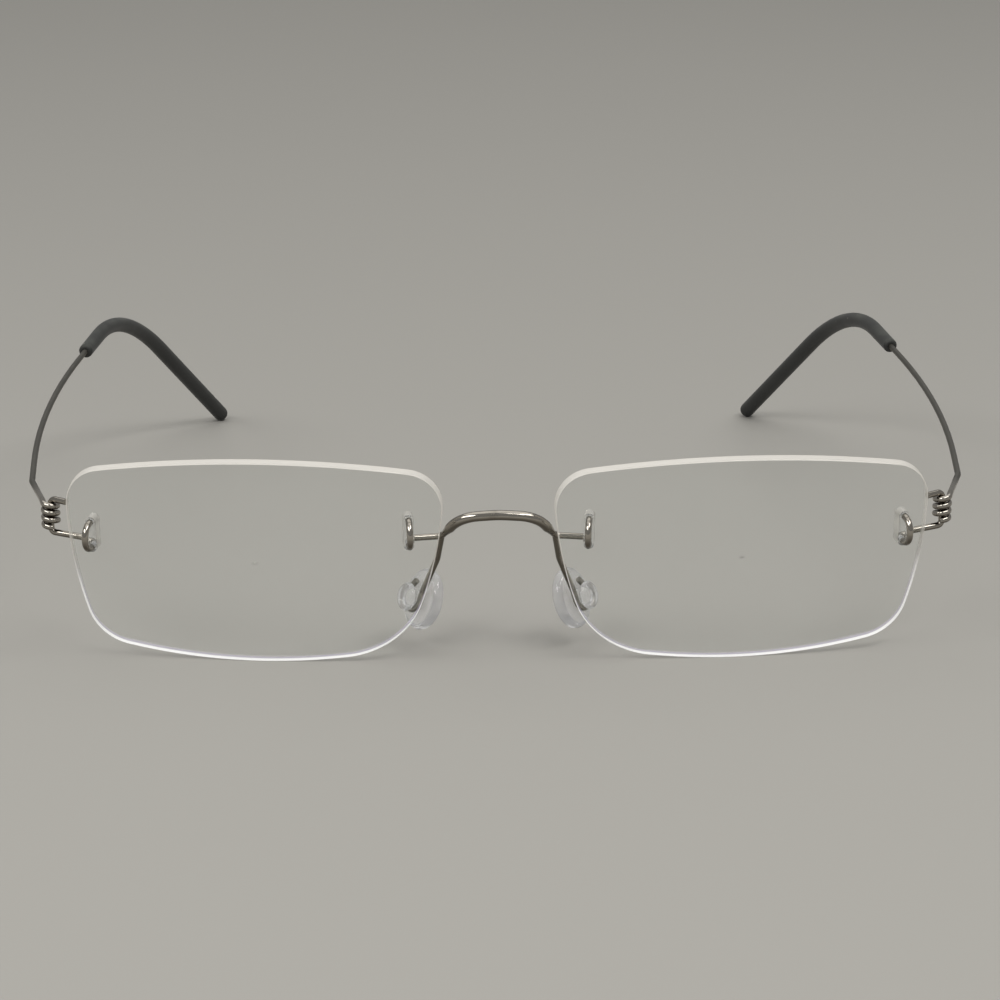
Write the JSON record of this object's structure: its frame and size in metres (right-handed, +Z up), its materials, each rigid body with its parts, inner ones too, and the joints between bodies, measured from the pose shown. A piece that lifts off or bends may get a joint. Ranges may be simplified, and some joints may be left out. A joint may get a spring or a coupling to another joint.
{
  "type": "rimless eyeglasses",
  "caption": "Rimless eyeglasses with clear lenses hooked on wire, coil-hinged wire temples, dark soft tip sleeves and small clear rocking nose pads.",
  "frame": {"origin": "on the table, under the middle of the outside box of the open glasses", "axes": "+X to the wearer's left, across the face; +Y from the lenses back to the ears; +Z up"},
  "size_m": [0.1416, 0.1402, 0.0318],
  "materials": {
    "lens": "clear, polished, anti-reflection coated",
    "plug": "clear, glossy",
    "front_wire": "polished titanium wire",
    "temple_wire": "satin titanium wire",
    "sleeve": "matte silicone",
    "nose_pad": "clear silicone"
  },
  "bodies": {
    "front": {"left_lens": "lens", "right_lens": "lens", "left_outer_plug": "plug", "right_outer_plug": "plug", "left_inner_plug": "plug", "right_inner_plug": "plug", "bridge": "front_wire", "left_endpiece": "front_wire", "right_endpiece": "front_wire", "left_pad_arm": "front_wire", "right_pad_arm": "front_wire"},
    "left_temple": {"left_temple": "temple_wire", "left_tip_sleeve": "sleeve"},
    "right_temple": {"right_temple": "temple_wire", "right_tip_sleeve": "sleeve"},
    "left_nose_pad": {"left_nose_pad": "nose_pad"},
    "right_nose_pad": {"right_nose_pad": "nose_pad"}
  },
  "joints": [
    {"name": "left_temple_fold", "type": "hinge", "parent": "front", "child": "left_temple", "pos_m": [0.06519, -0.05819, 0.01946], "axis": [0, 0, 1], "range_deg": [0, 81]},
    {"name": "right_temple_fold", "type": "hinge", "parent": "front", "child": "right_temple", "pos_m": [-0.06519, -0.05819, 0.01946], "axis": [0, 0, -1], "range_deg": [0, 70]},
    {"name": "left_pad_rock", "type": "hinge", "parent": "front", "child": "left_nose_pad", "pos_m": [0.01245, -0.05817, 0.0079], "axis": [-0.5736, -0.8192, 0], "range_deg": [-5, 5]},
    {"name": "right_pad_rock", "type": "hinge", "parent": "front", "child": "right_nose_pad", "pos_m": [-0.01245, -0.05817, 0.0079], "axis": [-0.5736, 0.8192, 0], "range_deg": [-5, 5]}
  ]
}
